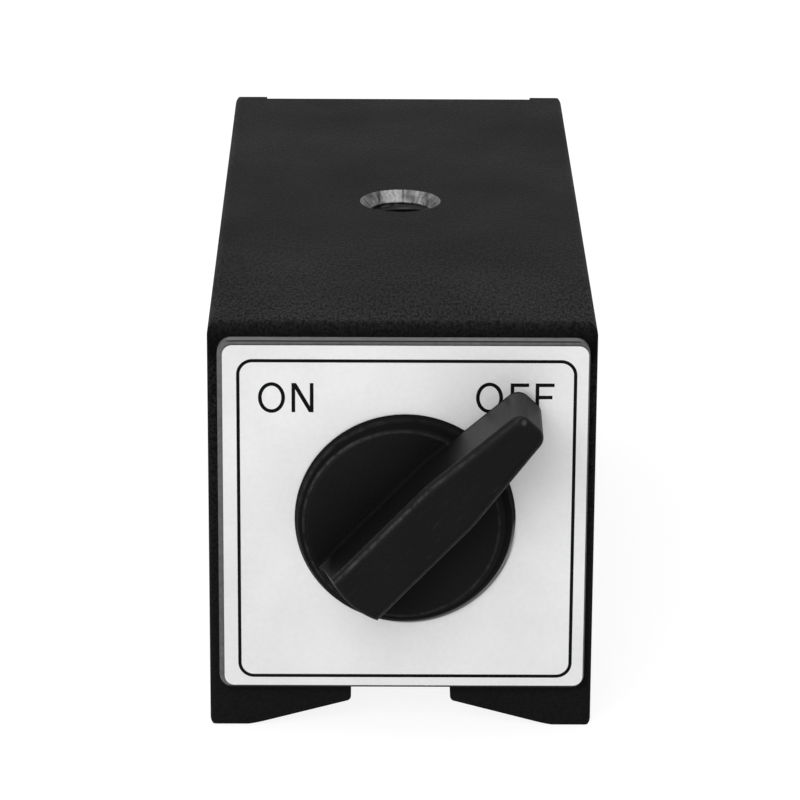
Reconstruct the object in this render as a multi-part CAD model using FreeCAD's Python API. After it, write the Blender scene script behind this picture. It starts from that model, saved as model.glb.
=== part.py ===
import FreeCAD, Part
import math
import os

# Switchable magnetic base: a split soft-iron body holding a turning magnet rotor.
# Frame: +Z up, -Y towards the knob, origin on the resting plane at the centre of the
# overall box. Millimetres.

V = FreeCAD.Vector

# Body
BODY_WIDTH = 50.0
BODY_HEIGHT = 55.0
BODY_LENGTH = 117.0
FOOT_WIDTH = 4.6
VEE_DEG = 15.0
SLOT_WIDTH = 13.0
SLOT_ROOF_Z = 9.5
SLOT_LIP_ROUND = 0.7
LONG_EDGE_ROUND = 1.1
FRONT_TOP_ROUND = 3.5
REAR_TOP_ROUND = 1.5
FOOT_END_ROUND = 0.7
FRONT_UPRIGHT_ROUND = 0.8
REAR_UPRIGHT_ROUND = 2.0
TOP_SEAM_WIDTH = 3.4
TOP_SEAM_X = -1.3

# Bore for the rotor, a little right of the body's middle
BORE_X = 0.45
BORE_Z = 29.85
BORE_RADIUS = 15.0

# Shallow channel milled in the rear face for the rear plate
REAR_CHANNEL_WIDTH = 40.4
REAR_CHANNEL_DEPTH = 1.0

# Column thread in the top face (M10, wall at the thread's major radius)
THREAD_RADIUS = 5.0
HOLE_FLOOR = 1.15
COUNTERSINK_RADIUS = 5.65

# Front plate and the label on it
PLATE_SIDE = 47.6
PLATE_THICK = 1.5
PLATE_CORNER = 1.8
PLATE_BOTTOM_Z = 6.2
PLATE_SHIFT_X = 0.14
LABEL_WIDTH = 46.75
LABEL_HEIGHT = 46.7
LABEL_THICK = 0.3
LABEL_CORNER = 1.3
LABEL_SHIFT_X = 0.38
LABEL_DROP = 0.1

# Rear plate
REAR_PLATE_HEIGHT = 40.0
REAR_PLATE_CORNER = 2.0
REAR_PLATE_SIDE_GAP = 0.2

# Bearings, spindle and stop
BEARING_THICK = 3.0
BEARING_SEAT_GAP = 0.02
SPINDLE_RADIUS = 5.0
RUNNING_GAP = 0.05
PLATE_HOLE_GAP = 0.6
STOP_PIN_RADIUS = 1.5
STOP_PITCH_RADIUS = 11.0
STOP_PIN_DEG = 45.0
STOP_GROOVE_DEPTH = 2.2
STOP_GAP = 0.3
KNOB_TRAVEL_DEG = 90.0

# Rotor
ROTOR_GAP = 0.3
END_PLAY = 0.3
FRONT_CAP_THICK = 10.0
REAR_CAP_THICK = 4.0
MAGNET_THICK = 9.0
MAGNET_COUNT = 3
CROSS_PIN_RADIUS = 1.25
CROSS_PIN_LENGTH = 26.0
SPINDLE_END_GAP = 0.2
SPRING_SPACE = 1.7
SPRING_THICK = 0.5
SPRING_OUTER_RADIUS = 9.0
SPRING_CLEARANCE = 0.1

# Knob: stepped disc with a bar handle across it
KNOB_GAP = 0.2
KNOB_REST_DEG = 46.5
DISC_RADIUS = 14.25
SHOULDER_RADIUS = 13.8
SHOULDER_DEPTH = 1.2
BEVEL_RADIUS = 13.15
BEVEL_DEPTH = 1.95
FACE_RADIUS = 12.5
DISC_DEPTH = 2.2
BAR_FRONT = 12.2
BAR_BURIED = 0.2
BAR_TAIL_BASE = 12.3
BAR_TAIL_TOP = 10.0
BAR_HALF = 4.03
BAR_KNEE = 8.0
BAR_KNEE_ROUND = 20.0
BAR_TAPER_DEG = 6.0
BAR_NOSE_BASE = 23.35
BAR_NOSE_TOP = 23.25
BAR_NOSE_CORNER = 1.7
BAR_EDGE_ROUND = 1.1
BAR_FOOT = 0.35
NECK_RADIUS = 2.75
NECK_LENGTH = 8.5

# Places worked out from the sizes above
LABEL_FRONT = PLATE_THICK + LABEL_THICK
KNOB_BACK = LABEL_FRONT + KNOB_GAP
KNOB_REACH = KNOB_BACK + BAR_FRONT
FRONT_Y = KNOB_REACH - (BODY_LENGTH + KNOB_REACH) / 2
REAR_Y = FRONT_Y + BODY_LENGTH
CHANNEL_Y = REAR_Y - REAR_CHANNEL_DEPTH
ROTOR_RADIUS = BORE_RADIUS - ROTOR_GAP
FRONT_CAP_Y = FRONT_Y + BEARING_THICK + END_PLAY
CORE_FRONT_Y = FRONT_CAP_Y + FRONT_CAP_THICK
REAR_BEARING_Y = CHANNEL_Y - BEARING_THICK
REAR_CAP_END_Y = REAR_BEARING_Y - SPRING_SPACE
CORE_REAR_Y = REAR_CAP_END_Y - REAR_CAP_THICK
CORE_LENGTH = CORE_REAR_Y - CORE_FRONT_Y
PLATE_MIDDLE_Z = PLATE_BOTTOM_Z + PLATE_SIDE / 2
THREAD_BOTTOM_Z = BORE_Z + BORE_RADIUS + HOLE_FLOOR
HOLE_Y = (FRONT_Y + REAR_Y) / 2
FORWARD = V(0, -1, 0)
BACKWARD = V(0, 1, 0)


def cylinder_y(radius, y0, y1, x=BORE_X, z=BORE_Z):
    """A round bar along Y between two Y places."""
    return Part.makeCylinder(radius, y1 - y0, V(x, y0, z), BACKWARD)


def closed_face(edges):
    """A flat face bounded by the given edges in order."""
    return Part.Face(Part.Wire(edges))


def rounded_outline(points, radii, place):
    """A closed wire through flat corner points, each rounded by its radius.

    points are (a, b) pairs and place turns a pair into a vector.
    """
    count = len(points)
    starts, ends, middles = [], [], []
    for i, (a, b) in enumerate(points):
        before, after = points[i - 1], points[(i + 1) % count]
        d1 = (before[0] - a, before[1] - b)
        d2 = (after[0] - a, after[1] - b)
        l1, l2 = math.hypot(*d1), math.hypot(*d2)
        u1, u2 = (d1[0] / l1, d1[1] / l1), (d2[0] / l2, d2[1] / l2)
        half = math.acos(u1[0] * u2[0] + u1[1] * u2[1]) / 2
        cut = radii[i] / math.tan(half)
        starts.append((a + u1[0] * cut, b + u1[1] * cut))
        ends.append((a + u2[0] * cut, b + u2[1] * cut))
        bis = (u1[0] + u2[0], u1[1] + u2[1])
        size = math.hypot(*bis)
        reach = radii[i] / math.sin(half) - radii[i]
        middles.append((a + bis[0] / size * reach, b + bis[1] / size * reach))
    edges = []
    for i in range(count):
        if radii[i] > 0:
            edges.append(Part.Arc(place(*starts[i]), place(*middles[i]), place(*ends[i])).toShape())
        nxt = (i + 1) % count
        edges.append(Part.LineSegment(place(*ends[i]), place(*starts[nxt])).toShape())
    return edges


def end_profile_prism():
    """The body's end view, with vee, slot and rounded long edges, along the whole length."""
    half, foot, slot = BODY_WIDTH / 2, BODY_WIDTH / 2 - FOOT_WIDTH, SLOT_WIDTH / 2
    lip_z = (foot - slot) * math.tan(math.radians(VEE_DEG))
    right = [(slot, SLOT_ROOF_Z), (slot, lip_z), (foot, 0), (half, 0), (half, BODY_HEIGHT)]
    radii = [0, SLOT_LIP_ROUND, 0, LONG_EDGE_ROUND, LONG_EDGE_ROUND]
    points = right + [(-x, z) for x, z in reversed(right)]
    edges = rounded_outline(points, radii + radii[::-1], lambda x, z: V(x, FRONT_Y, z))
    return closed_face(edges).extrude(V(0, BODY_LENGTH, 0))


def side_profile_prism(rear_y, x0, x1):
    """The body's side view, rounded at its ends, from x0 to x1 across the width."""
    points = [(FRONT_Y, 0), (rear_y, 0), (rear_y, BODY_HEIGHT), (FRONT_Y, BODY_HEIGHT)]
    radii = [FOOT_END_ROUND, FOOT_END_ROUND, REAR_TOP_ROUND, FRONT_TOP_ROUND]
    edges = rounded_outline(points, radii, lambda y, z: V(x0, y, z))
    return closed_face(edges).extrude(V(x1 - x0, 0, 0))


def plan_prism():
    """The body's plan view with its four upright edges rounded."""
    half = BODY_WIDTH / 2
    points = [(-half, FRONT_Y), (half, FRONT_Y), (half, REAR_Y), (-half, REAR_Y)]
    radii = [FRONT_UPRIGHT_ROUND] * 2 + [REAR_UPRIGHT_ROUND] * 2
    edges = rounded_outline(points, radii, lambda x, y: V(x, y, 0))
    return closed_face(edges).extrude(V(0, 0, BODY_HEIGHT))


def column_hole():
    """The blind column hole with its countersink, open at the top face."""
    chamfer = COUNTERSINK_RADIUS - THREAD_RADIUS
    hole = Part.makeCylinder(THREAD_RADIUS, BODY_HEIGHT - THREAD_BOTTOM_Z, V(0, HOLE_Y, THREAD_BOTTOM_Z))
    cone = Part.makeCone(THREAD_RADIUS, COUNTERSINK_RADIUS, chamfer, V(0, HOLE_Y, BODY_HEIGHT - chamfer))
    return hole.fuse(cone)


def body_blank():
    """The whole body before it is parted: outline, bore and column hole."""
    half = BODY_WIDTH / 2
    ridge = (BODY_WIDTH - REAR_CHANNEL_WIDTH) / 2
    solid = side_profile_prism(CHANNEL_Y, -half, half)
    solid = solid.fuse(side_profile_prism(REAR_Y, -half, -half + ridge))
    solid = solid.fuse(side_profile_prism(REAR_Y, half - ridge, half))
    solid = solid.common(end_profile_prism()).common(plan_prism())
    solid = solid.cut(cylinder_y(BORE_RADIUS, FRONT_Y, REAR_Y))
    return solid.cut(column_hole())


def seam_box(x, width, z0, z1):
    """The lengthwise block of a seam between the pole halves, centred at x."""
    return Part.makeBox(width, BODY_LENGTH, z1 - z0, V(x - width / 2, FRONT_Y, z0))


def seams():
    """The upper seam and the wider lower gap, as cutting blocks."""
    upper = seam_box(TOP_SEAM_X, TOP_SEAM_WIDTH, BORE_Z, BODY_HEIGHT)
    lower = seam_box(0, SLOT_WIDTH, 0, BORE_Z)
    return upper, lower


def pole(blank, side):
    """One soft-iron half of the body: side is -1 for left, 1 for right."""
    upper, lower = seams()
    halves = blank.cut(upper).cut(lower).Solids
    return max(halves, key=lambda s: side * s.CenterOfMass.x)


def top_spacer(blank):
    """The non-magnetic strip between the halves above the bore."""
    return blank.common(seams()[0])


def bottom_spacer(blank):
    """The non-magnetic bar between the halves under the bore; its underside roofs the slot."""
    return blank.common(seams()[1])


def sheet(width, height, thick, corner, x, y, z):
    """A flat sheet facing -Y, centred at (x, z), with its back at y."""
    a, b = width / 2, height / 2
    points = [(x - a, z - b), (x + a, z - b), (x + a, z + b), (x - a, z + b)]
    edges = rounded_outline(points, [corner] * 4, lambda px, pz: V(px, y, pz))
    return closed_face(edges).extrude(V(0, -thick, 0))


def spindle_hole(y0, y1):
    """The clear hole round the spindle through a plate."""
    return cylinder_y(SPINDLE_RADIUS + PLATE_HOLE_GAP, y0, y1)


def front_plate():
    """The front cover plate with the spindle's hole."""
    solid = sheet(PLATE_SIDE, PLATE_SIDE, PLATE_THICK, PLATE_CORNER, PLATE_SHIFT_X, FRONT_Y, PLATE_MIDDLE_Z)
    return solid.cut(spindle_hole(FRONT_Y - PLATE_THICK, FRONT_Y))


def front_label():
    """The thin metal label on the front plate."""
    back, middle = FRONT_Y - PLATE_THICK, PLATE_MIDDLE_Z - LABEL_DROP
    solid = sheet(LABEL_WIDTH, LABEL_HEIGHT, LABEL_THICK, LABEL_CORNER, LABEL_SHIFT_X, back, middle)
    return solid.cut(spindle_hole(back - LABEL_THICK, back))


def rear_plate():
    """The rear cover plate, flush in its channel."""
    width = REAR_CHANNEL_WIDTH - 2 * REAR_PLATE_SIDE_GAP
    return sheet(width, REAR_PLATE_HEIGHT, REAR_CHANNEL_DEPTH, REAR_PLATE_CORNER, 0, REAR_Y, PLATE_MIDDLE_Z)


def bearing(y0):
    """A round bearing plug seated in the bore, with the journal's running hole."""
    disc = cylinder_y(BORE_RADIUS - BEARING_SEAT_GAP, y0, y0 + BEARING_THICK)
    return disc.cut(cylinder_y(SPINDLE_RADIUS + RUNNING_GAP, y0, y0 + BEARING_THICK))


def polar(radius, degrees, y):
    """A point at a radius and angle about the bore's axis, seen from the front."""
    angle = math.radians(degrees)
    return V(BORE_X + radius * math.cos(angle), y, BORE_Z + radius * math.sin(angle))


def stop_pin():
    """The pin pressed in the front bearing; it runs in the rotor's groove."""
    length = BEARING_THICK + END_PLAY + STOP_GROOVE_DEPTH - STOP_GAP
    return Part.makeCylinder(STOP_PIN_RADIUS, length, polar(STOP_PITCH_RADIUS, STOP_PIN_DEG, FRONT_Y), BACKWARD)


def front_bearing():
    """The front bearing plug with the seat of the stop pin."""
    return bearing(FRONT_Y).cut(stop_pin())


def stop_groove():
    """The curved groove that lets the rotor turn through its travel and no further."""
    half = STOP_PIN_RADIUS + STOP_GAP
    start, end = STOP_PIN_DEG - KNOB_TRAVEL_DEG, STOP_PIN_DEG
    inner, outer = STOP_PITCH_RADIUS - half, STOP_PITCH_RADIUS + half
    beyond = math.degrees(half / STOP_PITCH_RADIUS)

    def arc(*stations):
        return Part.Arc(*[polar(r, a, FRONT_CAP_Y) for r, a in stations]).toShape()

    face = closed_face([
        arc((outer, start), (outer, (start + end) / 2), (outer, end)),
        arc((outer, end), (STOP_PITCH_RADIUS, end + beyond), (inner, end)),
        arc((inner, end), (inner, (start + end) / 2), (inner, start)),
        arc((inner, start), (STOP_PITCH_RADIUS, start - beyond), (outer, start))])
    return face.extrude(V(0, STOP_GROOVE_DEPTH, 0))


def cross_pin():
    """The pin through the front cap and the spindle that makes them turn together."""
    y = CORE_FRONT_Y - FRONT_CAP_THICK / 2
    start = V(BORE_X - CROSS_PIN_LENGTH / 2, y, BORE_Z)
    return Part.makeCylinder(CROSS_PIN_RADIUS, CROSS_PIN_LENGTH, start, V(1, 0, 0))


def spindle_room():
    """The blind hole in the front cap that takes the spindle."""
    return cylinder_y(SPINDLE_RADIUS, FRONT_CAP_Y, CORE_FRONT_Y - SPINDLE_END_GAP)


def spindle():
    """The steel spindle: a neck inside the knob and a journal that reaches the front cap."""
    shoulder_y = FRONT_Y - KNOB_BACK
    neck = cylinder_y(NECK_RADIUS, shoulder_y - NECK_LENGTH, shoulder_y)
    journal = cylinder_y(SPINDLE_RADIUS, shoulder_y, CORE_FRONT_Y - 2 * SPINDLE_END_GAP)
    return neck.fuse(journal).removeSplitter().cut(cross_pin())


def front_cap():
    """The rotor's front cap: spindle socket, stop groove and cross hole."""
    solid = cylinder_y(ROTOR_RADIUS, FRONT_CAP_Y, CORE_FRONT_Y)
    return solid.cut(spindle_room()).cut(stop_groove()).cut(cross_pin())


def rear_cap():
    """The rotor's rear cap with its journal."""
    solid = cylinder_y(ROTOR_RADIUS, CORE_REAR_Y, REAR_CAP_END_Y)
    return solid.fuse(cylinder_y(SPINDLE_RADIUS, REAR_CAP_END_Y, CHANNEL_Y - END_PLAY)).removeSplitter()


def magnet_blocks():
    """The ferrite blocks in a row between the pole segments, one solid each."""
    half = math.sqrt(ROTOR_RADIUS ** 2 - (MAGNET_THICK / 2) ** 2)
    step = CORE_LENGTH / MAGNET_COUNT
    low = BORE_Z - MAGNET_THICK / 2
    return [Part.makeBox(2 * half, step, MAGNET_THICK, V(BORE_X - half, CORE_FRONT_Y + i * step, low))
            for i in range(MAGNET_COUNT)]


def rotor_segment(side):
    """A soft-iron pole segment of the rotor: side is 1 for the upper, -1 for the lower."""
    bar = cylinder_y(ROTOR_RADIUS, CORE_FRONT_Y, CORE_REAR_Y)
    reach = 2 * ROTOR_RADIUS
    low = BORE_Z + MAGNET_THICK / 2 if side > 0 else BORE_Z - MAGNET_THICK / 2 - reach
    keep = Part.makeBox(2 * reach, CORE_LENGTH, reach, V(BORE_X - reach, CORE_FRONT_Y, low))
    return bar.common(keep)


def disc_spring():
    """The conical spring washer between the rear cap and the rear bearing."""
    inner = SPINDLE_RADIUS + STOP_GAP
    y0 = REAR_CAP_END_Y + SPRING_CLEARANCE
    y1 = REAR_BEARING_Y - SPRING_CLEARANCE
    corners = [V(inner, y0, 0), V(inner, y0 + SPRING_THICK, 0), V(SPRING_OUTER_RADIUS, y1, 0),
               V(SPRING_OUTER_RADIUS, y1 - SPRING_THICK, 0)]
    face = Part.Face(Part.makePolygon(corners + corners[:1]))
    solid = face.revolve(V(0, 0, 0), BACKWARD, 360)
    solid.translate(V(BORE_X, 0, BORE_Z))
    return solid


def knob_disc():
    """The knob's stepped disc about the Y axis, its back at y = 0 and its face forward."""
    rim = [(0, 0), (DISC_RADIUS, 0), (SHOULDER_RADIUS, SHOULDER_DEPTH), (BEVEL_RADIUS, BEVEL_DEPTH),
           (FACE_RADIUS, DISC_DEPTH), (0, DISC_DEPTH)]
    face = Part.Face(Part.makePolygon([V(r, -depth, 0) for r, depth in rim + rim[:1]]))
    return face.revolve(V(0, 0, 0), BACKWARD, 360)


def bar_outline(depth, grow=0.0):
    """The bar's outline with square corners, at a depth in front of the disc's back."""
    half, nose, tail = BAR_HALF + grow, BAR_NOSE_BASE + grow, BAR_TAIL_BASE + grow
    nose_half = half - (nose - BAR_KNEE) * math.tan(math.radians(BAR_TAPER_DEG))
    pairs = [(-tail, -half), (BAR_KNEE, -half), (nose, -nose_half)]
    pairs += [(a, -b) for a, b in reversed(pairs)]
    return Part.makePolygon([V(a, -depth, b) for a, b in pairs + pairs[:1]])


def bar_blank():
    """The bar with its sloping nose and its tail curved and sloped about the knob's axis."""
    back, room = DISC_DEPTH - BAR_BURIED, 2 * BAR_NOSE_BASE
    depth = BAR_FRONT - back
    solid = Part.Face(bar_outline(back)).extrude(FORWARD * depth)
    corners = [(-room, back), (BAR_NOSE_BASE, back), (BAR_NOSE_TOP, BAR_FRONT), (-room, BAR_FRONT)]
    side = Part.Face(Part.makePolygon([V(a, -d, -room) for a, d in corners + corners[:1]]))
    cone = Part.makeCone(BAR_TAIL_BASE, BAR_TAIL_TOP, depth, V(0, -back, 0), FORWARD)
    ahead = Part.makeBox(room, depth, room, V(0, -BAR_FRONT, -room / 2))
    return solid.common(side.extrude(V(0, 0, 2 * room))).common(cone.fuse(ahead)).removeSplitter()


def deep_edges(solid, low, high):
    """The edges that run through the bar's whole depth between two places along it."""
    return [e for e in solid.Edges if e.BoundBox.YLength > BAR_FRONT - DISC_DEPTH
            and low < e.CenterOfMass.x < high]


def bar_handle():
    """The bar across the disc with its nose, knees and front edges rounded."""
    solid = bar_blank()
    solid = solid.makeFillet(BAR_NOSE_CORNER, deep_edges(solid, BAR_KNEE + BAR_HALF, BAR_NOSE_BASE))
    solid = solid.makeFillet(BAR_KNEE_ROUND, deep_edges(solid, 0, BAR_KNEE + BAR_HALF / 2))
    front = [e for e in solid.Edges if all(abs(v.Y + BAR_FRONT) < 0.001 for v in e.Vertexes)]
    return solid.makeFillet(BAR_EDGE_ROUND, front)


def bar_foot():
    """The sloping skirt that joins the bar's sides to the disc's face."""
    low = bar_outline(DISC_DEPTH - BAR_BURIED, BAR_FOOT + BAR_BURIED)
    high = bar_outline(DISC_DEPTH + BAR_FOOT)
    room = Part.makeCylinder(FACE_RADIUS, BAR_FRONT, V(0, 0, 0), FORWARD)
    return Part.makeLoft([low, high], True, True).common(room)


def knob():
    """The moulded knob at rest, pointing to OFF."""
    solid = knob_disc().fuse(bar_foot()).fuse(bar_handle()).removeSplitter()
    solid = solid.cut(Part.makeCylinder(NECK_RADIUS, NECK_LENGTH, V(0, 0, 0), FORWARD))
    solid.rotate(V(0, 0, 0), FORWARD, KNOB_REST_DEG)
    solid.translate(V(BORE_X, FRONT_Y - KNOB_BACK, BORE_Z))
    return solid


def nodes():
    """Every piece of the base by name: a solid, or a list of like solids."""
    blank = body_blank()
    return {
        "left_pole": pole(blank, -1),
        "right_pole": pole(blank, 1),
        "top_spacer": top_spacer(blank),
        "bottom_spacer": bottom_spacer(blank),
        "front_plate": front_plate(),
        "front_label": front_label(),
        "front_bearing": front_bearing(),
        "stop_pin": stop_pin(),
        "rear_plate": rear_plate(),
        "rear_bearing": bearing(REAR_BEARING_Y),
        "disc_spring": disc_spring(),
        "knob": knob(),
        "spindle": spindle(),
        "cross_pin": cross_pin(),
        "rotor_front_cap": front_cap(),
        "rotor_rear_cap": rear_cap(),
        "magnet_blocks": magnet_blocks(),
        "upper_rotor_pole": rotor_segment(1),
        "lower_rotor_pole": rotor_segment(-1),
    }


os.makedirs("parts", exist_ok=True)
for name, made in nodes().items():
    shape = Part.makeCompound(made) if isinstance(made, list) else made
    shape.exportStep("parts/" + name + ".step")
    print(name, shape.isValid(), len(shape.Solids), round(shape.Volume, 1))
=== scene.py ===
import logging
import math
from collections.abc import Sequence
from dataclasses import dataclass
from enum import Enum

import bmesh
import bpy
from mathutils import Matrix, Vector


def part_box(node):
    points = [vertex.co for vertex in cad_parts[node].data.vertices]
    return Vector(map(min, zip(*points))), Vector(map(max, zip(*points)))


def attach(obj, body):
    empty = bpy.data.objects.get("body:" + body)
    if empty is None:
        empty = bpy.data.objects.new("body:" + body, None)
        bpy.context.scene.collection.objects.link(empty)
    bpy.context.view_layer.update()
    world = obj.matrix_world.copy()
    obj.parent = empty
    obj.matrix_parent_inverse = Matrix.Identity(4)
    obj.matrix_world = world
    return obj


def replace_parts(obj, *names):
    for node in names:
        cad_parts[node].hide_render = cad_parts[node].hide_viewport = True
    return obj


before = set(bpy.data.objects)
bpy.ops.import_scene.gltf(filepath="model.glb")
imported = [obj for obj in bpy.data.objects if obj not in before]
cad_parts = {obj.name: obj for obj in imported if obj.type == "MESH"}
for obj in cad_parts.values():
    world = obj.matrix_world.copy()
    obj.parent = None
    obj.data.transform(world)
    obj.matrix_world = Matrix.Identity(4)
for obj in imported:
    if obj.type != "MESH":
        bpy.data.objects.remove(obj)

"""A switchable magnetic base on a pale studio floor, seen from its knob.

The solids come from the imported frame. This script gives every one of them its finish and adds
what the solids leave out: the column thread, the printed label and the rear plate's screws.
Metres; +Z is up and -Y is towards the knob.
"""

MM = 0.001
ROUND_STEPS = 48
LOG = logging.getLogger("magnetic_base")

BASE, ROTOR = "base", "rotor"

Colour = tuple[float, float, float]
Way = tuple[float, float, float]
Ramp = tuple[float, float, float, float]
Socket = bpy.types.NodeSocket

BLACK: Colour = (0.0, 0.0, 0.0)
WHITE: Colour = (1.0, 1.0, 1.0)


class Lay(Enum):
    """The direction in which a finish's fine marks run, as stretch factors of its grain."""

    EVEN = (1.0, 1.0, 1.0)
    LENGTHWISE = (1.0, 0.04, 1.0)


class Nodes:
    """A node tree under construction, with short ways to add and join its nodes."""

    def __init__(self, tree: bpy.types.NodeTree) -> None:
        """Takes an empty tree.

        Args:
            tree: the tree that the nodes go into.
        """
        self.tree = tree

    def add(
            self, kind: str, values: dict[str | int, object] | None = None,
            **settings: object) -> bpy.types.Node:
        """Adds a node, joins or sets its inputs and sets its own properties.

        Args:
            kind: the node's type name.
            values: a socket or a plain value for each named or numbered input.
            settings: the node's own properties.

        Returns:
            The new node.
        """
        node = self.tree.nodes.new(kind)
        for key, value in settings.items():
            setattr(node, key, value)
        for key, value in (values or {}).items():
            if isinstance(value, Socket):
                self.tree.links.new(value, node.inputs[key])
            else:
                node.inputs[key].default_value = value
        return node

    def maths(self, operation: str, a: object, b: object = 0.0) -> Socket:
        """Works out a sum on two numbers.

        Args:
            operation: the name of the Math node's operation.
            a: the first number or socket.
            b: the second number or socket.

        Returns:
            The result's socket.
        """
        return self.add("ShaderNodeMath", {0: a, 1: b}, operation=operation).outputs[0]

    def times(self, a: object, b: object) -> Socket:
        """Multiplies two numbers."""
        return self.maths("MULTIPLY", a, b)

    def vector(self, operation: str, a: object, b: object = (0.0, 0.0, 0.0)) -> Socket:
        """Works out a vector from one or two vectors.

        Args:
            operation: the name of the Vector Math node's operation.
            a: the first vector or socket.
            b: the second vector or socket.

        Returns:
            The result's socket.
        """
        return self.add("ShaderNodeVectorMath", {0: a, 1: b}, operation=operation).outputs[0]

    def measure(self, operation: str, a: object, b: object = (0.0, 0.0, 0.0)) -> Socket:
        """Works out a number, such as a distance, from one or two vectors.

        Args:
            operation: the name of the Vector Math node's operation.
            a: the first vector or socket.
            b: the second vector or socket.

        Returns:
            The result's socket.
        """
        return self.add("ShaderNodeVectorMath", {0: a, 1: b}, operation=operation).outputs["Value"]

    def scaled(self, vector: object, share: Socket) -> Socket:
        """Makes a vector or a colour longer or shorter."""
        return self.add("ShaderNodeVectorMath", {0: vector, "Scale": share}, operation="SCALE").outputs[0]

    def split(self, place: Socket) -> tuple[Socket, ...]:
        """Gives a vector's X, Y and Z."""
        return tuple(self.add("ShaderNodeSeparateXYZ", {0: place}).outputs)

    def noise(self, place: Socket, scale: float | Socket, detail: float, roughness: float = 0.5) -> Socket:
        """Makes a noise.

        Args:
            place: where it is read.
            scale: its grains per metre.
            detail: how many finer layers it has.
            roughness: how strong they are.

        Returns:
            The noise's value.
        """
        wanted = {"Vector": place, "Scale": scale, "Detail": detail, "Roughness": roughness}
        return self.add("ShaderNodeTexNoise", wanted).outputs["Fac"]

    def join(self, source: Socket, target: Socket) -> None:
        """Links an output to an input."""
        self.tree.links.new(source, target)

    def step(self, value: Socket, low: float, high: float, start: float = 0.0, end: float = 1.0) -> Socket:
        """Maps a range of a value onto another range, held at its ends.

        Args:
            value: the socket to map.
            low: the value that gives start.
            high: the value that gives end.
            start: the result at low.
            end: the result at high.

        Returns:
            The mapped socket.
        """
        wanted = {"Value": value, "From Min": low, "From Max": high, "To Min": start, "To Max": end}
        return self.add("ShaderNodeMapRange", wanted).outputs[0]

    def blend(self, mask: Socket, a: object, b: object) -> Socket:
        """Mixes two colours by a mask.

        Args:
            mask: 0 gives a, 1 gives b.
            a: the first colour or socket.
            b: the second colour or socket.

        Returns:
            The mixed colour's socket.
        """
        return self.add("ShaderNodeMix", {0: mask, 6: a, 7: b}, data_type="RGBA").outputs[2]

    def overlay(self, shader: bpy.types.Node, mask: Socket, colour: Colour) -> None:
        """Lays a colour over the base colour that a shader has so far.

        Args:
            shader: the material's Principled BSDF.
            mask: 1 where the colour covers.
            colour: the colour.
        """
        given = shader.inputs["Base Color"]
        self.join(self.blend(mask, given.links[0].from_socket, rgba(colour)), given)


def rgba(colour: Colour) -> tuple[float, float, float, float]:
    """Gives a colour its alpha."""
    return (*colour, 1.0)


def moved(ramp: Ramp, by: float) -> Ramp:
    """Moves the range that a ramp reads."""
    return ramp[0] + by, ramp[1] + by, ramp[2], ramp[3]


def open_group(
        name: str, kind: str, inputs: dict[str, str],
        outputs: dict[str, str]) -> tuple[Nodes, bpy.types.Node, bpy.types.Node]:
    """Starts a node group with named sockets.

    Args:
        name: the group's name.
        kind: the type of tree.
        inputs: the socket type of each named input.
        outputs: the socket type of each named output.

    Returns:
        The group's nodes, its input node and its output node.
    """
    tree = bpy.data.node_groups.new(name, kind)
    for side, sockets in (("INPUT", inputs), ("OUTPUT", outputs)):
        for label, socket_type in sockets.items():
            tree.interface.new_socket(label, in_out=side, socket_type=socket_type)
    nodes = Nodes(tree)
    return nodes, nodes.add("NodeGroupInput"), nodes.add("NodeGroupOutput")


def grain_group() -> bpy.types.NodeTree:
    """Builds the fine grain that paint, plastic and plated steel share.

    Returns:
        A shader group that turns a place, a count of grains and a count of drifts per metre into
        a mask of grains and a slower drift of tone.
    """
    number, middle = "NodeSocketFloat", (0.3, 0.7)
    nodes, given, result = open_group(
        "fine_grain", "ShaderNodeTree",
        {"Place": "NodeSocketVector", "Grains": number, "Drifts": number}, {"Grain": number, "Drift": number})
    take = given.outputs
    fine = nodes.noise(take["Place"], take["Grains"], 2.5, 0.6)
    slow = nodes.noise(take["Place"], take["Drifts"], 2.0)
    nodes.join(nodes.step(fine, *middle), result.inputs["Grain"])
    nodes.join(nodes.step(slow, *middle), result.inputs["Drift"])
    return nodes.tree


def edge_wear_group() -> bpy.types.NodeTree:
    """Builds a painted highlight line, broken up like a scuff, that an edge gets where its coordinate passes
    a set value.

    Returns:
        A shader group that turns a coordinate, the value it is lit at, a half width, a place,
        a count of breaks per metre and an amount into a mask that is broken up by noise.
    """
    number, soft_sides, broken_up = "NodeSocketFloat", (0.0, 0.6), (0.36, 0.62, 0.15, 1.0)
    nodes, given, result = open_group(
        "edge_wear", "ShaderNodeTree",
        {"Coordinate": number, "Lit At": number, "Half Width": number, "Place": "NodeSocketVector",
         "Breaks": number, "Amount": number}, {"Highlight": number})
    take = given.outputs
    apart = nodes.maths("ABSOLUTE", nodes.maths("SUBTRACT", take["Coordinate"], take["Lit At"]))
    near = nodes.maths("SUBTRACT", 1.0, nodes.maths("DIVIDE", apart, take["Half Width"]))
    noise = nodes.noise(take["Place"], take["Breaks"], 3.0, 0.65)
    worn = nodes.times(nodes.step(near, *soft_sides), nodes.step(noise, *broken_up))
    nodes.join(nodes.times(worn, take["Amount"]), result.inputs["Highlight"])
    return nodes.tree


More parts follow.
